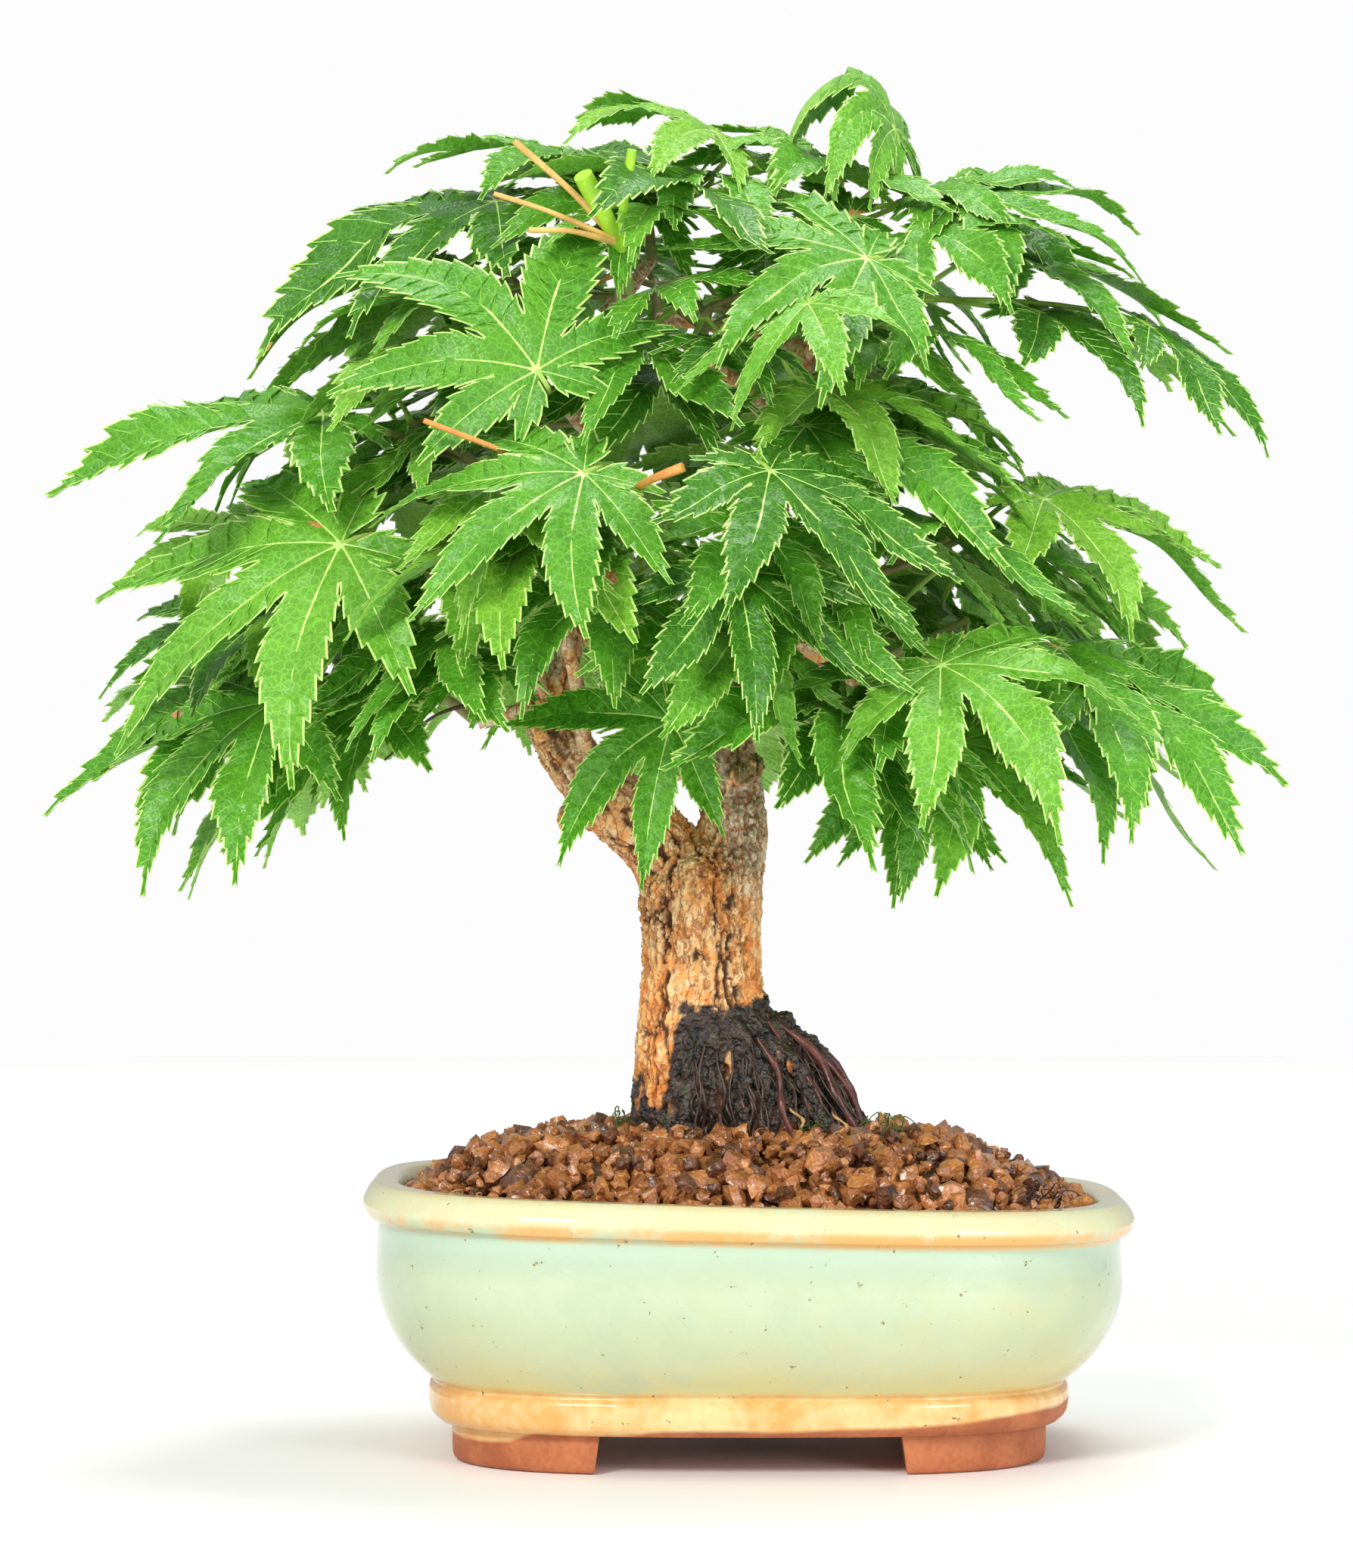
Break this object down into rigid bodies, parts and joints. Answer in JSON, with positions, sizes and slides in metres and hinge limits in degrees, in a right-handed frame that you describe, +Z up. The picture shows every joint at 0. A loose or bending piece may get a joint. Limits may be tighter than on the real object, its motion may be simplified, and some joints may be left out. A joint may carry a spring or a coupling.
{
  "type": "potted japanese maple bonsai",
  "caption": "Japanese maple grown as a bonsai: short thick trunk with a root flare, spreading crown of seven-lobed green leaves, in a low glazed ceramic pot filled with grit.",
  "frame": {"origin": "on the ground, in the middle of the whole plant's footprint seen from above; the crown reaches further left than the pot, so the pot stands a little right of the origin", "axes": "+Z is up and the longest side; -Y is the front of the tree; +X is to the right seen from the front, the side to which the root flare runs"},
  "size_m": [0.241, 0.1954, 0.2712],
  "materials": {
    "glaze": "glossy pale green crackled glaze over unglazed terracotta feet",
    "grit": "damp reddish-brown clay granules",
    "bark": "rough flaking bark, dark and damp at the foot",
    "foliage": "thin green leaves with a soft sheen"
  },
  "bodies": {
    "root": {"bough_left": "bark", "bough_right": "bark", "branch_apex_right": "bark", "branch_back_left_low": "bark", "branch_back_low": "bark", "branch_back_right_low": "bark", "branch_back_right_upper": "bark", "branch_back_upper": "bark", "branch_front_left": "bark", "branch_front_left_low": "bark", "branch_front_low": "bark", "branch_front_mid": "bark", "branch_front_right": "bark", "branch_front_upper": "bark", "branch_left_bottom": "bark", "branch_left_low": "bark", "branch_left_mid": "bark", "branch_left_upper": "bark", "branch_right_low": "bark", "branch_right_mid": "bark", "branch_right_upper": "bark", "branch_top_back": "bark", "branch_top_centre": "bark", "branch_top_left": "bark", "branch_trunk_shoot": "bark", "leaves_apex_right": "foliage", "leaves_back_left_low": "foliage", "leaves_back_low": "foliage", "leaves_back_right_low": "foliage", "leaves_back_right_upper": "foliage", "leaves_back_upper": "foliage", "leaves_front_left": "foliage", "leaves_front_left_low": "foliage", "leaves_front_low": "foliage", "leaves_front_mid": "foliage", "leaves_front_right": "foliage", "leaves_front_upper": "foliage", "leaves_left_bottom": "foliage", "leaves_left_low": "foliage", "leaves_left_mid": "foliage", "leaves_left_upper": "foliage", "leaves_right_low": "foliage", "leaves_right_mid": "foliage", "leaves_right_upper": "foliage", "leaves_top_back": "foliage", "leaves_top_centre": "foliage", "leaves_top_left": "foliage", "leaves_trunk_shoot": "foliage", "pot": "glaze", "riser_left": "bark", "riser_right": "bark", "soil": "grit", "trunk": "bark"}
  },
  "joints": []
}
